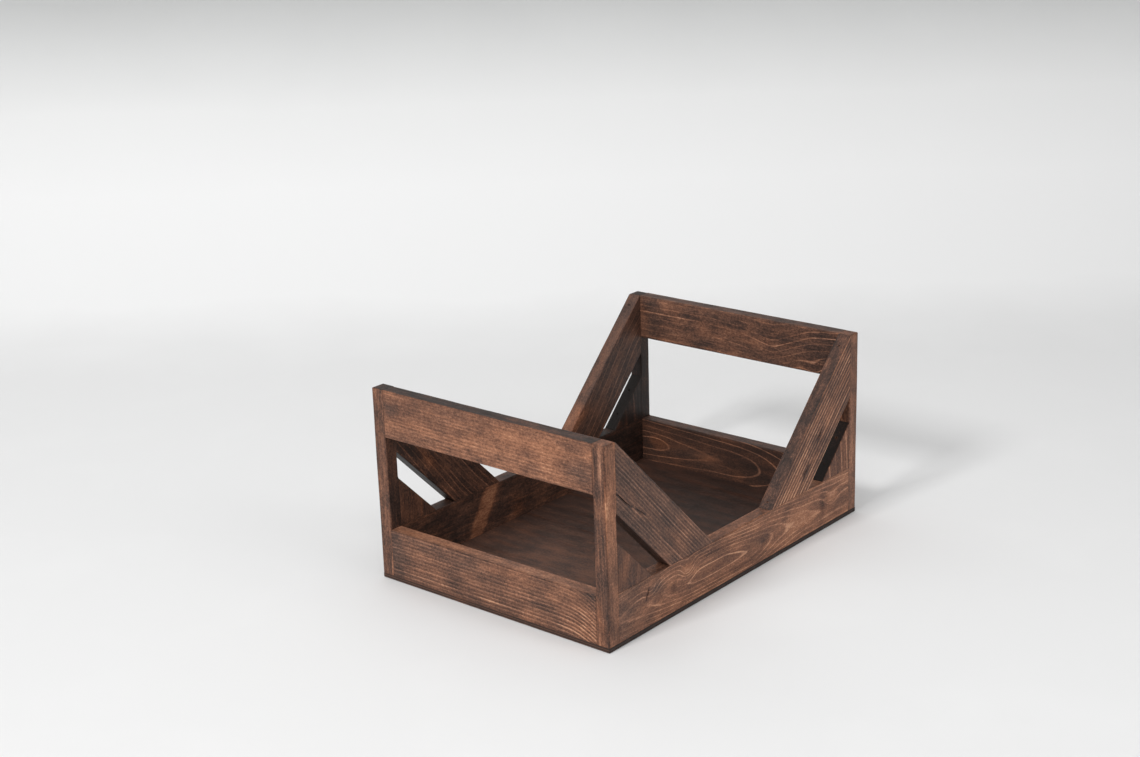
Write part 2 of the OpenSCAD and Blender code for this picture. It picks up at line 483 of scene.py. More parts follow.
def pine_material(timber, group):
    """The pine group with one board's own settings, and veneers along the edge of plywood."""
    grain = GRAINS[timber.name]
    material, tree, shader = new_material(timber.name + "_stained")
    wood = tree.node("ShaderNodeGroup", {"node_tree": group})
    for key in GRAIN_INPUTS:
        wood.inputs[key].default_value = getattr(grain, key.lower())
    relief = tree.node("ShaderNodeBump", Height=wood.outputs["Height"])
    relief.inputs["Strength"].default_value = 0.5
    relief.inputs["Distance"].default_value = 0.00018
    colour = wood.outputs["Color"]
    if timber.plywood:
        colour = tree.mix_colour(ply_layers(tree), colour, DARK_VENEER)
    tree.feed(shader.inputs["Base Color"], colour)
    tree.feed(shader.inputs["Roughness"], wood.outputs["Roughness"])
    tree.feed(shader.inputs["Normal"], relief.outputs[0])
    shader.inputs["Specular IOR Level"].default_value = 0.3
    return material


# ---------------------------------------------------------------------------
# Grain, described board by board. Every place is in millimetres in the board's own
# axes: u along the grain, v across the face that shows, w in from that face.
# ---------------------------------------------------------------------------

# A swirl lifts the rings round a knot or a flame. A patch is darker, warmer or bolder wood, and a few
# patches paint light and shade on the wood instead.
Swirl = namedtuple("Swirl", "u v half_u half_v rise point", defaults=(2.0,))
# A patch's edge is crisper the greater its sharpness, and it leans along the grain as v grows.
Patch = namedtuple(
    "Patch", "u v half_u half_v dark warm bold sharp lean", defaults=(0.0, 0.0, 0.0, 1.0, 0.0)
)
# The pith runs through points (u, v, depth behind the face). Rings are at equal distances from it.
# Side is painted shade on the board's narrow faces where it is below nothing, painted light where
# above, set to how light falls on them.
Grain = namedtuple(
    "Grain",
    "pith spacing contrast thinness tone warmth side fibre wander shift swirls patches",
    defaults=(-0.08, 1.0, 1.0, 0.0, (), ()),
)
Crack = namedtuple("Crack", "start end width depth")
# How deep below the face, in millimetres, swirls and patches fade away
SWIRL_DEPTH = 30.0
PATCH_DEPTH = 12.0
# How much darker the wood is painted along a crack: painted shade in the split
CRACK_SHADE = 0.28


# Every u that a board can have and a little more, and how many steps to each side are averaged
PATH_STEPS = np.arange(-60.0, 620.0, 2.0)
PATH_REACH = 9


def smooth_path(at, stations, values):
    """The values at each station, joined by a curve without corners."""
    line = np.interp(PATH_STEPS, stations, values)
    window = np.hanning(2 * PATH_REACH + 1)
    padded = np.pad(line, PATH_REACH, mode="edge")
    return np.interp(at, PATH_STEPS, np.convolve(padded, window / window.sum(), mode="valid"))


def mound(u, v, spot, point=2.0, sharp=1.0):
    """One at the spot's centre, falling to nearly nothing past its half sizes."""
    reach = np.abs((u - spot.u) / spot.half_u) ** point + ((v - spot.v) / spot.half_v) ** 2
    return np.exp(-1.4 * reach**sharp)


def ring_field(grain, u, v, w):
    """The distance from the pith, as the swirls change it."""
    stations, across, depth = zip(*grain.pith)
    ring = np.hypot(v - smooth_path(u, stations, across), w + smooth_path(u, stations, depth))
    for swirl in grain.swirls:
        ring += swirl.rise * mound(u, v, swirl, swirl.point) * np.exp(-w / SWIRL_DEPTH)
    return ring


def distance_to(crack, u, v):
    """How far each point is, across the face, from a crack's middle line."""
    start = np.array(crack.start, float)
    along = np.array(crack.end, float) - start
    share = np.clip(((u - start[0]) * along[0] + (v - start[1]) * along[1]) / (along @ along), 0, 1)
    return np.hypot(u - start[0] - share * along[0], v - start[1] - share * along[1])


def patch_fields(grain, cracks, u, v, w):
    """How much darker, warmer and bolder the wood is at each point, with painted shade along cracks and
    in some patches.
    """
    stain, warm, bold = np.zeros_like(u), np.zeros_like(u), np.ones_like(u)
    depth_share = np.exp(-w / PATCH_DEPTH)
    for crack in cracks:
        away = distance_to(crack, u, v)
        # Painted shade along the crack, deepest at its middle line
        stain += CRACK_SHADE * np.exp(-((away / crack.width) ** 2)) * depth_share
    for patch in grain.patches:
        upright = u - patch.lean * (v - patch.v)
        share = mound(upright, v, patch, sharp=patch.sharp) * depth_share
        stain += patch.dark * share
        warm += patch.warm * share
        bold += patch.bold * share
    return stain, warm, np.maximum(bold, 0)


# ---------------------------------------------------------------------------
# Boards: convex outlines with a thickness, gridded, with eased arrises
# ---------------------------------------------------------------------------

# Arris radii in millimetres: in the open, and where another board butts against the side
FREE, POST_FREE, PANEL_FREE = 1.25, 1.8, 0.8
BUTT = 0.22
# How far past a joint the radius takes to grow from one to the other
JOINT_FADE = 2.5
# The strip of painted shade beside an arris is this much wider than its radius
ARRIS_SHADE_REACH = 1.6
# Joints are stretches of u. This one takes in the whole side.
ALL_JOINT = ((-1000.0, 1000.0),)
GRID, PANEL_GRID = 2.2, 5.0
ARRIS_CUTS = (0.08, 0.22, 0.5, 0.85, 1.3, 1.9)
# Nearer than this, in millimetres, two places are one
TINY = 1e-4
SHARP_ANGLE = math.radians(50)
# Sets each board's noise well apart from the others'
NOISE_STEP = 137.0

# A board's axes are the directions of u, v and w, and its outline lies in u and v. Side joints
# go side by side round the outline, and face joints are those of w = 0 and of the far face.
Timber = namedtuple(
    "Timber",
    "name slot origin axes outline side_joints face_joints thick free grid plywood",
    defaults=(((), ()), THICK, FREE, GRID, False),
)


def slice_mesh(bm, normal, offsets):
    """Splits every face that crosses one of a set of parallel planes."""
    ahead = list(bm.faces)
    for offset in sorted(offsets):
        crossing, beyond = [], []
        for face in ahead:
            heights = [vert.co.dot(normal) - offset for vert in face.verts]
            if max(heights) > TINY:
                (crossing if min(heights) < -TINY else beyond).append(face)
        edges = list({edge for face in crossing for edge in face.edges})
        verts = list({vert for edge in edges for vert in edge.verts})
        split = bmesh.ops.bisect_plane(
            bm,
            geom=verts + edges + crossing,
            dist=TINY,
            plane_co=normal * offset,
            plane_no=normal,
        )
        ahead = beyond + [part for part in split["geom"] if isinstance(part, bmesh.types.BMFace)]


def outline_sides(outline):
    """The inward normal and the offset of every edge of a convex outline."""
    centre = np.mean(outline, axis=0)
    found = []
    for start, end in zip(outline, np.roll(outline, -1, axis=0)):
        along = (end - start) / np.linalg.norm(end - start)
        normal = np.array([-along[1], along[0]])
        if (centre - start) @ normal < 0:
            normal = -normal
        found.append((normal, start @ normal))
    return found


def gridded_prism(outline, thick, grid):
    """A closed prism, in millimetres, cut into small faces that are finer beside every arris."""
    bm = bmesh.new()
    lower = [bm.verts.new((u, v, 0)) for u, v in outline]
    upper = [bm.verts.new((u, v, thick)) for u, v in outline]
    bm.faces.new(lower)
    bm.faces.new(upper)
    count = len(outline)
    for i in range(count):
        j = (i + 1) % count
        bm.faces.new((lower[i], lower[j], upper[j], upper[i]))
    bmesh.ops.recalc_face_normals(bm, faces=bm.faces)
    insets = list(ARRIS_CUTS)
    slice_mesh(bm, Vector((0, 0, 1)), insets + [thick / 3, thick * 2 / 3] + [thick - i for i in insets])
    for normal, offset in outline_sides(outline):
        slice_mesh(bm, Vector((*normal, 0)), [float(offset) + inset for inset in insets])
    low, high = outline.min(axis=0), outline.max(axis=0)
    for axis in (1, 0):
        normal = Vector((1 - axis, axis, 0))
        slice_mesh(bm, normal, np.arange(low[axis] + grid, high[axis] - grid / 2, grid).tolist())
    return bm


def ease_radius(along, joints, free):
    """The arris radius along a side: small where a board butts against it."""
    radius = np.full_like(along, free)
    for start, end in joints:
        outside = np.maximum(start - along, along - end)
        share = np.clip(outside / JOINT_FADE, 0, 1)
        radius = np.minimum(radius, BUTT + (free - BUTT) * share)
    return radius


def wobble(along, seed):
    """A slow, repeatable unevenness of about one part in four."""
    return 1 + 0.16 * np.sin(along * 0.047 + seed) + 0.1 * np.sin(along * 0.171 + 2.3 * seed)


def ease_arrises(points, timber, free):
    """Rounds every arris. Returns the moved points and how near each is to an arris, from 0 to 1."""
    sides = [
        (np.array([*normal, 0.0]), offset, joints)
        for (normal, offset), joints in zip(outline_sides(timber.outline), timber.side_joints)
    ]
    sides.append((np.array([0, 0, 1.0]), 0.0, timber.face_joints[0]))
    sides.append((np.array([0, 0, -1.0]), -timber.thick, timber.face_joints[1]))
    along = points[:, 0]
    near, radii = [], []
    for index, (normal, offset, joints) in enumerate(sides):
        uneven = wobble(along, SEEDS[timber.name] + 1.7 * index)
        radius = ease_radius(along, joints, free * uneven)
        near.append(np.clip(1 - (points @ normal - offset) / radius, 0, 1))
        radii.append(radius)
    total = np.maximum(np.sqrt(sum(share**2 for share in near)), 1)
    moved = points.copy()
    for (normal, _, _), share, radius in zip(sides, near, radii):
        moved += np.outer(share * (1 - 1 / total) * radius, normal)
    # Where two sides meet, the total is the square root of two
    most = 0.41
    return moved, np.clip((total - 1) / most, 0, 1)


def set_attribute(mesh, name, kind, key, values):
    layer = mesh.attributes.new(name, kind, "POINT")
    layer.data.foreach_set(key, np.ascontiguousarray(values, dtype=np.float32).ravel())


def vertex_rows(mesh, key):
    """The co or the normal of every vertex, a row each."""
    values = np.zeros(len(mesh.vertices) * 3)
    mesh.vertices.foreach_get(key, values)
    return values.reshape(-1, 3)


def solid_board(timber):
    """The whole board with eased arrises, before its holes and cracks are cut."""
    bm = gridded_prism(timber.outline, timber.thick, timber.grid)
    points = np.array([vert.co for vert in bm.verts])
    eased, _ = ease_arrises(points, timber, timber.free)
    world = (eased @ timber.axes + timber.origin) * MM
    for vert, place in zip(bm.verts, world):
        vert.co = place
    bmesh.ops.recalc_face_normals(bm, faces=bm.faces)
    mesh = bpy.data.meshes.new(timber.name)
    bm.to_mesh(mesh)
    bm.free()
    piece = bpy.data.objects.new(timber.name + "_timber", mesh)
    bpy.context.scene.collection.objects.link(piece)
    return piece


def store_grain(mesh, timber):
    """Stores at every vertex what the pine group reads."""
    grain, seed = GRAINS[timber.name], SEEDS[timber.name]
    local = (vertex_rows(mesh, "co") / MM - timber.origin) @ np.linalg.inv(timber.axes)
    facing = np.abs(vertex_rows(mesh, "normal") @ timber.axes.T)
    _, edge = ease_arrises(local, timber, timber.free * ARRIS_SHADE_REACH)
    u, v, w = local.T
    stain, warm, bold = patch_fields(grain, CRACKS.get(timber.name, ()), u, v, w)
    fields = {
        "ring": ring_field(grain, u, v, w),
        "stain": stain,
        "warm": warm,
        "bold": bold,
        "edge": edge,
        "end_grain": facing[:, 0] ** 4,
        "side_face": (1 - facing[:, 2]) ** 2,
    }
    set_attribute(mesh, "board_place", "FLOAT_VECTOR", "vector", local + seed * NOISE_STEP)
    for name, values in fields.items():
        set_attribute(mesh, name, "FLOAT", "value", values)


def board(timber, group):
    """Makes one board, cuts its holes and cracks, and gives it its own grain."""
    timber = timber._replace(
        origin=np.array(timber.origin, float),
        axes=np.array(timber.axes, float),
        outline=np.array(timber.outline, float),
    )
    piece = solid_board(timber)
    cracks = CRACKS.get(timber.name, ())
    cut_away(piece, hole_cutters(timber.name) + [crack_cutter(crack, timber) for crack in cracks])
    mesh = piece.data
    mesh.materials.clear()
    mesh.polygons.foreach_set("material_index", [0] * len(mesh.polygons))
    mesh.shade_smooth()
    mesh.set_sharp_from_angle(angle=SHARP_ANGLE)
    store_grain(mesh, timber)
    mesh.materials.append(pine_material(timber, group))
    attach(piece, "root")
    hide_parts(timber.name)


# ---------------------------------------------------------------------------
# Brad holes and cracks, cut out of the boards
# ---------------------------------------------------------------------------

HOLE_NODES = {"brace": "brace_brads", "gusset": "gusset_brads", "bottom": "panel_brads"}
HOLE_RADIUS = 1.2
# The plug that cuts a hole goes from the brad's head to well outside the board
PLUG_LENGTH = 6.0
CRACK_STEPS = 12


@functools.cache
def find_brads(node):
    """The middle of every brad's head, and the direction from its point to its head, in metres."""
    bm = bmesh.new()
    bm.from_mesh(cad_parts[node].data)
    bmesh.ops.remove_doubles(bm, verts=bm.verts, dist=TINY * MM)
    seen = set()
    found = []
    for first in bm.verts:
        if first in seen:
            continue
        seen.add(first)
        brad = []
        reached = [first]
        while reached:
            vert = reached.pop()
            brad.append(np.array(vert.co))
            linked = [edge.other_vert(vert) for edge in vert.link_edges]
            fresh = [other for other in linked if other not in seen]
            seen.update(fresh)
            reached.extend(fresh)
        found.append(head_of(np.array(brad)))
    bm.free()
    return found


def head_of(points):
    """The head is the end of a brad that is wider."""
    centre = (points.min(axis=0) + points.max(axis=0)) / 2
    _, _, rows = np.linalg.svd(points - points.mean(axis=0))
    axis = rows[0]
    along = (points - centre) @ axis
    radius = np.linalg.norm(points - centre - np.outer(along, axis), axis=1)
    if along[radius > 0.9 * radius.max()].mean() < 0:
        axis, along = -axis, -along
    return centre + axis * along.max(), axis


def make_cutter(bm):
    bmesh.ops.recalc_face_normals(bm, faces=bm.faces)
    mesh = bpy.data.meshes.new("cutter")
    bm.to_mesh(mesh)
    bm.free()
    cutter = bpy.data.objects.new("cutter", mesh)
    bpy.context.scene.collection.objects.link(cutter)
    return cutter


def hole_cutter(head, axis):
    """A slightly ragged round plug, from the brad's head outwards."""
    bm = bmesh.new()
    bmesh.ops.create_cone(
        bm,
        cap_ends=True,
        segments=20,
        radius1=HOLE_RADIUS * MM,
        radius2=HOLE_RADIUS * 1.15 * MM,
        depth=PLUG_LENGTH * MM,
    )
    for vert in bm.verts:
        turn = math.atan2(vert.co.y, vert.co.x)
        vert.co.xy *= 1 + 0.07 * math.sin(3 * turn + 40 * head[0]) + 0.04 * math.sin(7 * turn)
    place = Matrix.Translation(Vector(head + axis * PLUG_LENGTH / 2 * MM))
    bm.transform(place @ Vector(axis).to_track_quat("Z", "Y").to_matrix().to_4x4())
    return make_cutter(bm)


def hole_cutters(name):
    """One plug for each brad head that lies in this board."""
    node = HOLE_NODES.get(name.split("_")[0])
    if node is None:
        return []
    slack = 0.1 * MM
    low, high = (np.array(corner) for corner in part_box(name))
    return [
        hole_cutter(head, axis)
        for head, axis in find_brads(node)
        if np.all(head >= low - slack) and np.all(head <= high + slack)
    ]


def crack_cutter(crack, timber):
    """A split in the face at w = 0: a spindle in plan and a wedge in section."""
    start, end = np.array(crack.start, float), np.array(crack.end, float)
    along = end - start
    across = np.array([-along[1], along[0]]) / np.linalg.norm(along)
    bm = bmesh.new()
    rows = []
    for step in range(CRACK_STEPS + 1):
        share = step / CRACK_STEPS
        swell = math.sin(math.pi * share) ** 0.7 + 0.03
        waver = 0.25 * crack.width * math.sin(9 * share + start[0])
        middle = start + along * share + across * waver
        half = crack.width / 2 * swell
        section = [
            (*(middle - across * half), -1.0),
            (*(middle + across * half), -1.0),
            (*(middle + across * half * 0.7), 0.35 * crack.depth * swell),
            (*middle, crack.depth * swell),
            (*(middle - across * half * 0.7), 0.35 * crack.depth * swell),
        ]
        world = (np.array(section) @ timber.axes + timber.origin) * MM
        rows.append([bm.verts.new(point) for point in world])
    for first, second in zip(rows, rows[1:]):
        for i in range(len(first)):
            j = (i + 1) % len(first)
            bm.faces.new((first[i], first[j], second[j], second[i]))
    bm.faces.new(rows[0])
    bm.faces.new(rows[-1])
    return make_cutter(bm)


def cut_away(piece, cutters):
    """Takes every cutter's shape out of the piece, and deletes the cutters."""
    for cutter in cutters:
        modifier = piece.modifiers.new("cut", "BOOLEAN")
        modifier.operation = "DIFFERENCE"
        modifier.solver = "MANIFOLD"
        modifier.object = cutter
    if cutters:
        graph = bpy.context.evaluated_depsgraph_get()
        piece.data = bpy.data.meshes.new_from_object(piece.evaluated_get(graph))
        piece.modifiers.clear()
    for cutter in cutters:
        bpy.data.objects.remove(cutter)


# ---------------------------------------------------------------------------
# The boards of the stand
# ---------------------------------------------------------------------------

X, Y, Z = np.eye(3)
SIDES = {"left": -1, "right": 1}
ENDS = {"front": -1, "back": 1}
DIAGONAL = math.sqrt(0.5)


def each_corner():
    """The name of each corner of the stand, and its signs along X and Y."""
    for end, sign_y in ENDS.items():
        for side, sign_x in SIDES.items():
            yield f"{end}_{side}", sign_x, sign_y


def side_face_x(sign_x):
    """Where w starts on the sides: at the outer face on the right, at the inner one on the left."""
    return HALF_WIDTH if sign_x > 0 else THICK - HALF_WIDTH


def rectangle(length, width):
    return [(0, 0), (length, 0), (length, width), (0, width)]


def make_end_rails(group):
    length = 2 * (HALF_WIDTH - THICK)
    for end, sign_y in ENDS.items():
        # w runs in from the outer face at the front, and from the inner face at the back
        face_y = -HALF_LENGTH if sign_y < 0 else HALF_LENGTH - THICK
        for level, low in (("top", TOP_RAIL_LOW), ("bottom", PANEL_TOP)):
            under = ALL_JOINT if level == "bottom" else ()
            rail = Timber(
                f"{end}_{level}_rail",
                "rail_timber",
                (THICK - HALF_WIDTH, face_y, low),
                (X, Z, Y),
                rectangle(length, BOARD_WIDTH),
                [under, ALL_JOINT, (), ALL_JOINT],
            )
            board(rail, group)


def make_side_rails(group):
    length = 2 * (HALF_LENGTH - THICK)
    brace_foot = (BRACE_LOWER - LOW_RAIL_TOP - THICK, BRACE_UPPER - LOW_RAIL_TOP - THICK)
    gusset_foot = (0, GUSSET_SLOPE - LOW_RAIL_TOP - THICK)
    feet = [gusset_foot, brace_foot]
    feet += [(length - end, length - start) for start, end in feet]
    for side, sign_x in SIDES.items():
        rail = Timber(
            f"side_rail_{side}",
            "rail_timber",
            (side_face_x(sign_x), THICK - HALF_LENGTH, PANEL_TOP),
            (Y, Z, -X),
            rectangle(length, BOARD_WIDTH),
            [ALL_JOINT, ALL_JOINT, feet, ALL_JOINT],
        )
        board(rail, group)


def make_posts(group):
    length = TOP - PANEL_TOP
    gusset_top = GUSSET_SLOPE - THICK - PANEL_TOP
    brace_low = BRACE_LOWER - THICK - PANEL_TOP
    rails = [(0, BOARD_WIDTH), (TOP_RAIL_LOW - PANEL_TOP, length)]
    walls = [(0, gusset_top), (brace_low, length)]
    for corner, sign_x, sign_y in each_corner():
        post = Timber(
            f"post_{corner}",
            "post_timber",
            (sign_x * HALF_WIDTH, sign_y * HALF_LENGTH, PANEL_TOP),
            (Z, -sign_x * X, -sign_y * Y),
            rectangle(length, THICK),
            [(), (), rails, ALL_JOINT],
            face_joints=((), walls),
            free=POST_FREE,
        )
        board(post, group)


def make_braces(group):
    # Depth in from the end face and height, from the foot's inner corner round to its outer one
    corners = np.array([
        (BRACE_LOWER - LOW_RAIL_TOP, LOW_RAIL_TOP),
        (THICK, BRACE_LOWER - THICK),
        (THICK, TOP),
        (BRACE_UPPER - TOP, TOP),
        (BRACE_UPPER - LOW_RAIL_TOP, LOW_RAIL_TOP),
    ])
    depth, height = corners[0]
    outline = (corners - corners[0]) @ np.array([(-DIAGONAL, DIAGONAL), (DIAGONAL, DIAGONAL)])
    for corner, sign_x, sign_y in each_corner():
        inward = -sign_y * Y
        brace = Timber(
            f"brace_{corner}",
            "brace_timber",
            (side_face_x(sign_x), sign_y * (HALF_LENGTH - depth), height),
            (DIAGONAL * (Z - inward), DIAGONAL * (Z + inward), -X),
            outline,
            [(), ALL_JOINT, (), (), ALL_JOINT],
        )
        board(brace, group)


def make_gussets(group):
    leg = GUSSET_SLOPE - LOW_RAIL_TOP - THICK
    for corner, sign_x, sign_y in each_corner():
        gusset = Timber(
            f"gusset_{corner}",
            "gusset_timber",
            (side_face_x(sign_x), sign_y * (HALF_LENGTH - THICK), LOW_RAIL_TOP),
            (Z, -sign_y * Y, -X),
            [(0, 0), (leg, 0), (0, leg)],
            [ALL_JOINT, (), ALL_JOINT],
        )
        board(gusset, group)


def make_panel(group):
    panel = Timber(
        "bottom_panel",
        "plywood",
        (-HALF_WIDTH, -HALF_LENGTH, PANEL_TOP),
        (X, Y, -Z),
        rectangle(2 * HALF_WIDTH, 2 * HALF_LENGTH),
        [()] * 4,
        thick=PANEL_TOP,
        free=PANEL_FREE,
        grid=PANEL_GRID,
        plywood=True,
    )
    board(panel, group)


# ---------------------------------------------------------------------------
# The grain of every board, and the splits in some of them
# ---------------------------------------------------------------------------

TIMBER_NODES = [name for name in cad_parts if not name.endswith(("dowels", "brads"))]
SEEDS = {name: 1.0 + 0.61 * i for i, name in enumerate(sorted(TIMBER_NODES))}

# A pith far off gives straight grain. One beside the board gives the grain of its edge.
FAR_PITH = ((0, -90, 50), (500, -98, 56))
SIDE_PITH = ((0, 60, 55), (250, 66, 60))
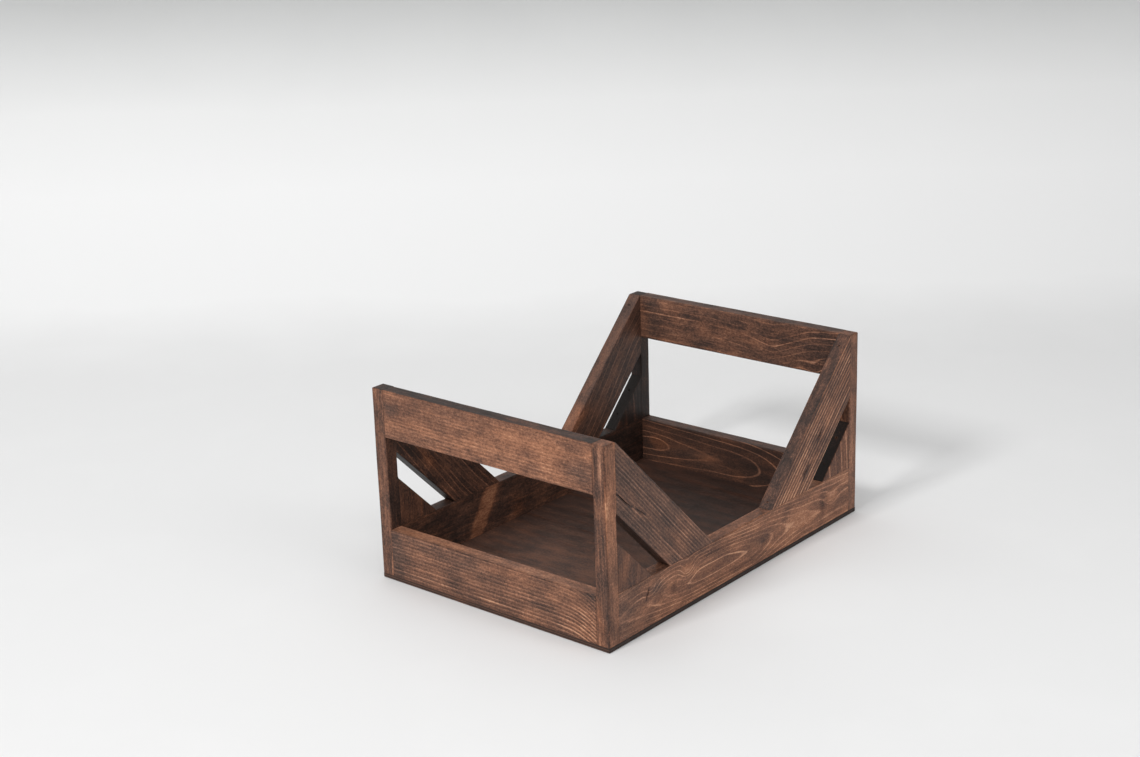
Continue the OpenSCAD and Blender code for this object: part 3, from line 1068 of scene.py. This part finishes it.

# Each board's side is painted shade on its narrow faces where below nothing, painted light where above;
# the gusset slopes, in the braces' shade, get the most.
GRAINS = {
    "front_top_rail": Grain(
        FAR_PITH,
        spacing=3.9, contrast=0.11, thinness=0.3, tone=0.565, warmth=0.6,
        side=-0.36, wander=0.4,
        patches=(
            Patch(160, 12, 220, 20, bold=0.5),
            Patch(160, 50, 220, 16, bold=-0.5),
            Patch(20, 30, 60, 60, dark=0.06, warm=-0.1),
            Patch(240, 40, 70, 12, dark=-0.10, warm=0.3),
            Patch(8, 38, 14, 12, dark=0.12, warm=-0.5),
            Patch(302, 24, 20, 14, dark=0.10, warm=-0.5),
            Patch(110, 46, 30, 12, dark=-0.07),
            Patch(262, 22, 24, 16, dark=-0.09, warm=0.2),
        ),
    ),
    "front_bottom_rail": Grain(
        ((0, -70, 38), (262, -70, 38), (290, -73, 37), (312, -83, 33), (335, -99, 29)),
        spacing=4.5, contrast=0.22, thinness=0.3, tone=0.50, warmth=0.35,
        side=0.14, wander=0.5,
        patches=(
            Patch(170, 12, 220, 16, dark=-0.02, bold=0.6),
            Patch(160, 50, 140, 12, bold=-0.4),
            Patch(6, 32, 18, 24, dark=0.10, warm=-0.5),
            Patch(120, 42, 40, 14, dark=0.08, warm=-0.3),
            Patch(190, 52, 40, 8, dark=-0.08, warm=0.3),
            Patch(312, 56, 18, 10, dark=0.18, warm=-0.4),
            Patch(306, 20, 34, 34, dark=-0.16, warm=0.4, bold=1.1),
        ),
    ),
    "back_top_rail": Grain(
        ((0, -41, 24), (120, -41, 24), (170, -45, 24), (218, -56, 24), (277, -33, 24), (330, -28, 24)),
        spacing=8.2, contrast=0.12, thinness=0.74, tone=0.45, warmth=0.25,
        side=-0.12, wander=0.6, shift=3.9,
        swirls=(Swirl(283, 5, 20, 16, rise=10), Swirl(216, 60, 22, 12, rise=-5)),
        patches=(
            Patch(22, 30, 12, 40, dark=0.08, warm=-0.4),
            Patch(120, 36, 120, 22, dark=-0.04, warm=0.3),
            Patch(230, 45, 30, 12, dark=0.05),
            Patch(290, 26, 60, 40, dark=0.08, warm=-0.1, bold=0.8),
            Patch(80, 41, 100, 6, bold=2.6),
            Patch(218, 31, 34, 7, bold=2.6),
            Patch(290, 51, 44, 6, bold=2.6),
            Patch(283, 10, 20, 12, bold=1.4),
        ),
    ),
    "back_bottom_rail": Grain(
        (
            (0, 25, 13), (20, 25, 15), (60, 25, 18), (117, 25.5, 21.9), (155, 25, 22.8),
            (185, 25, 26), (205, 25, 30), (235, 25, 37), (270, 24, 46), (320, 24, 60),
        ),
        spacing=7.0, contrast=0.34, thinness=0.8, tone=0.38, warmth=0.3,
        fibre=0.6, wander=0.4, shift=4.2,
        swirls=(Swirl(26, 29, 26, 13, rise=-5),),
        patches=(
            Patch(28, 29, 18, 11, dark=-0.12, warm=0.6, sharp=2.0),
            Patch(180, 25, 60, 30, bold=0.5),
            Patch(95, 25, 62, 13, bold=-1.0),
            Patch(290, 40, 40, 40, bold=-0.5),
        ),
    ),
    "side_rail_right": Grain(
        (
            (0, 27, 24), (60, 29, 19), (96, 30, 12.8), (130, 29, 8), (205, 27, 8),
            (264, 22.5, 12.8), (305, 26, 20), (364, 26, 27), (480, 22, 30),
        ),
        spacing=4.1, contrast=0.24, thinness=0.62, tone=0.66, warmth=0.75,
        side=-0.14, wander=0.8, shift=3.2,
        swirls=(
            Swirl(129, 42, 17, 15, rise=11),
            Swirl(364, 25, 18, 11, rise=-5),
            Swirl(60, 42, 14, 10, rise=5),
            Swirl(438, 33, 20, 14, rise=5),
        ),
        patches=(
            Patch(0, 30, 90, 70, dark=0.10, warm=-0.3),
            Patch(6, 34, 28, 50, dark=0.03, warm=-0.3, bold=-0.8),
            Patch(128, 44, 11, 7, dark=-0.12, warm=0.7, bold=-0.8, sharp=2.0),
            Patch(240, 10, 60, 6, dark=0.08),
            Patch(70, 43, 16, 9, dark=0.19, warm=-0.8),
            Patch(102, 31, 6, 8, dark=0.20),
            Patch(192, 47, 54, 5, dark=0.15),
            Patch(160, 9, 95, 6, dark=0.14),
            Patch(176, 28, 80, 14, dark=-0.02, bold=1.3),
            Patch(285, 27, 16, 9, dark=0.22, warm=-0.5),
            Patch(330, 36, 60, 18, bold=-0.5),
            Patch(364, 25, 18, 11, dark=-0.10, warm=0.8, bold=-0.9, sharp=1.5),
            Patch(418, 28, 7, 12, dark=0.25),
            Patch(438, 34, 15, 14, dark=-0.12, warm=0.6, bold=-0.7),
        ),
    ),
    "side_rail_left": Grain(
        ((0, -60, 22), (250, -66, 24), (500, -60, 28)),
        spacing=9.0, contrast=0.05, thinness=0.6, tone=0.36, warmth=0.3,
        patches=(
            Patch(147, 30, 16, 60, dark=-0.29, warm=0.7, sharp=4.0, lean=0.55),
            Patch(104, 30, 22, 40, dark=0.04, warm=-0.3, lean=0.55),
            Patch(182, 30, 14, 40, dark=0.08, warm=-0.3, lean=0.55),
            Patch(214, 14, 14, 18, dark=-0.12, warm=0.6),
            Patch(70, 20, 60, 30, dark=0.05),
            # Painted shade towards the back left corner
            Patch(440, 30, 100, 60, dark=0.24, warm=-0.2),
        ),
    ),
    "post_front_left": Grain(
        SIDE_PITH,
        spacing=3.6, contrast=0.12, thinness=0.4, tone=0.45, warmth=0.4,
        side=-0.18,
        patches=(Patch(32, 12, 7, 4, dark=-0.14, warm=0.4),),
    ),
    "post_front_right": Grain(
        SIDE_PITH,
        spacing=3.4, contrast=0.14, thinness=0.4, tone=0.47, warmth=0.5,
        side=0.12,
        patches=(
            Patch(214, 7.5, 34, 3.0, dark=-0.42),
            Patch(212, 2.4, 34, 1.6, dark=0.24),
            Patch(212, 14.0, 40, 3.0, dark=0.14),
            Patch(130, 9, 100, 7, dark=0.10, warm=-0.3),
            Patch(150, 0.5, 50, 1.6, dark=-0.16, warm=0.5),
            Patch(36, 13, 20, 4, dark=-0.14, warm=0.5),
            Patch(19, 5, 12, 6, dark=0.14),
            Patch(40, 0, 60, 5, dark=0.09, warm=-0.4),
            Patch(176, 0, 22, 9, dark=-0.06, warm=0.3),
        ),
    ),
    # Its tone is painted dark: the shade of the back left corner
    "post_back_left": Grain(
        SIDE_PITH,
        spacing=3.8, contrast=0.10, thinness=0.4, tone=0.13, warmth=0.3,
        side=0.0,
    ),
    "post_back_right": Grain(
        SIDE_PITH,
        spacing=3.6, contrast=0.14, thinness=0.4, tone=0.50, warmth=0.45,
        side=0.04,
    ),
    "brace_front_right": Grain(
        ((0, -100, 60), (250, -96, 60)),
        spacing=3.5, contrast=0.20, thinness=0.35, tone=0.435, warmth=0.0,
        side=-0.2, fibre=0.85, wander=0.6,
        patches=(
            Patch(145, 40, 16, 11, dark=0.10, warm=-0.5),
            Patch(60, 52, 80, 8, dark=-0.05),
            Patch(-10, 30, 50, 40, dark=-0.06, warm=0.3, bold=0.4),
        ),
    ),
    "brace_back_right": Grain(
        ((0, -80, 36), (250, -84, 36)),
        spacing=5.1, contrast=0.54, thinness=0.3, tone=0.50, warmth=0.5,
        side=-0.22, wander=0.5,
        patches=(
            Patch(-8, 32, 50, 24, dark=-0.16, warm=0.3),
            Patch(150, 20, 30, 20, dark=0.06),
            Patch(-20, 64, 100, 8, dark=0.12, warm=-0.6),
        ),
    ),
    "brace_back_left": Grain(
        ((0, -46, 24), (60, -40, 22), (140, -30, 22), (250, -30, 24)),
        spacing=9.5, contrast=0.18, thinness=0.74, tone=0.40, warmth=0.1,
        side=0.0, wander=0.6, fibre=0.8,
        swirls=(Swirl(8, 52, 16, 12, rise=8),),
        patches=(
            Patch(8, 50, 14, 10, dark=-0.10, warm=0.7),
            Patch(-6, 62, 24, 12, dark=-0.20, warm=1.0, sharp=3.0),
        ),
    ),
    "brace_front_left": Grain(
        ((0, -46, 24), (60, -40, 22), (140, -30, 22), (250, -30, 24)),
        spacing=7.0, contrast=0.15, thinness=0.68, tone=0.35, warmth=0.25,
        side=-0.3,
        patches=(
            Patch(78, 20, 24, 9, dark=-0.12, warm=0.8),
            Patch(130, 40, 40, 50, dark=0.10),
            Patch(10, 34, 30, 26, dark=-0.05, bold=0.6),
        ),
    ),
    "gusset_front_right": Grain(
        SIDE_PITH,
        spacing=4.5, contrast=0.02, thinness=0.4, tone=0.40, warmth=0.5,
        side=-0.42, fibre=0.75,
    ),
    "gusset_back_right": Grain(
        ((0, 70, 30), (80, 76, 34)),
        spacing=11.0, contrast=0.32, thinness=0.76, tone=0.51, warmth=0.85,
        side=-0.5, wander=0.6,
        patches=(Patch(22, 8, 40, 7, dark=-0.12, warm=0.2), Patch(40, 26, 40, 8, dark=0.10)),
    ),
    "gusset_front_left": Grain(
        SIDE_PITH,
        spacing=4.5, contrast=0.05, thinness=0.4, tone=0.36, warmth=0.3,
        side=-0.36,
    ),
    # Its tone is painted dark: the shade of the back left corner
    "gusset_back_left": Grain(
        SIDE_PITH,
        spacing=4.5, contrast=0.10, thinness=0.4, tone=0.10, warmth=0.3,
        side=-0.36,
    ),
    "bottom_panel": Grain(
        FAR_PITH,
        spacing=22.0, contrast=0.0, thinness=0.3, tone=0.29, warmth=0.12,
        side=0.02, fibre=0.55,
        patches=(
            # Painted light: the pool where light through the front opening falls on the floor
            Patch(190, 120, 110, 120, dark=-0.06, warm=0.1),
            Patch(110, 0, 200, 6, dark=-0.10, warm=0.4),
            Patch(355, 260, 4, 320, dark=0.10),
            # Painted shade over the far part of the floor
            Patch(180, 420, 200, 120, dark=0.17),
        ),
    ),
}
# A few splits that show in the face at w = 0
CRACKS = {
    "side_rail_right": (Crack((50, 35), (55, 46), width=2.2, depth=2.0),),
    "brace_front_right": (
        Crack((114, 18.6), (154, 16.8), width=1.6, depth=2.5),
        Crack((86, 23.6), (108, 21.2), width=0.9, depth=1.5),
    ),
    "brace_back_right": (
        Crack((56, 29), (72, 29.5), width=2.4, depth=2.5),
        Crack((5, 23), (24, 23.5), width=2.0, depth=2.0),
    ),
}


# ---------------------------------------------------------------------------
# Dowels and brads, which are shown as CAD made them
# ---------------------------------------------------------------------------

FINISH_SCALE = (900, 900, 900)
# Darkest and lightest colour, how metallic and how rough
FINISHES = {
    "brads": ((0.08, 0.075, 0.07, 1), (0.2, 0.19, 0.18, 1), 1.0, 0.4),
    "dowels": ((0.45, 0.30, 0.17, 1), (0.62, 0.45, 0.28, 1), 0.0, 0.6),
}


def fastener_material(name, dark, light, metallic, roughness):
    material, tree, shader = new_material(name)
    place = tree.node("ShaderNodeTexCoord").outputs["Object"]
    mottle = tree.noise(place, FINISH_SCALE, detail=3.0)
    tone = tree.math("MULTIPLY_ADD", mottle, 0.5, 0.5, clamp=True)
    tree.feed(shader.inputs["Base Color"], tree.mix_colour(tone, dark, light))
    shader.inputs["Metallic"].default_value = metallic
    shader.inputs["Roughness"].default_value = roughness
    return material


def make_fasteners():
    """The CAD solids are shown as they are, so they only need a material."""
    for name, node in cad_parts.items():
        finish = FINISHES.get(name.split("_")[-1])
        if finish is not None:
            node.data.materials.clear()
            node.data.materials.append(fastener_material(name + "_finish", *finish))


make_camera()
make_lights()
make_backdrop()
pine = pine_group()
make_panel(pine)
make_end_rails(pine)
make_side_rails(pine)
make_posts(pine)
make_braces(pine)
make_gussets(pine)
make_fasteners()
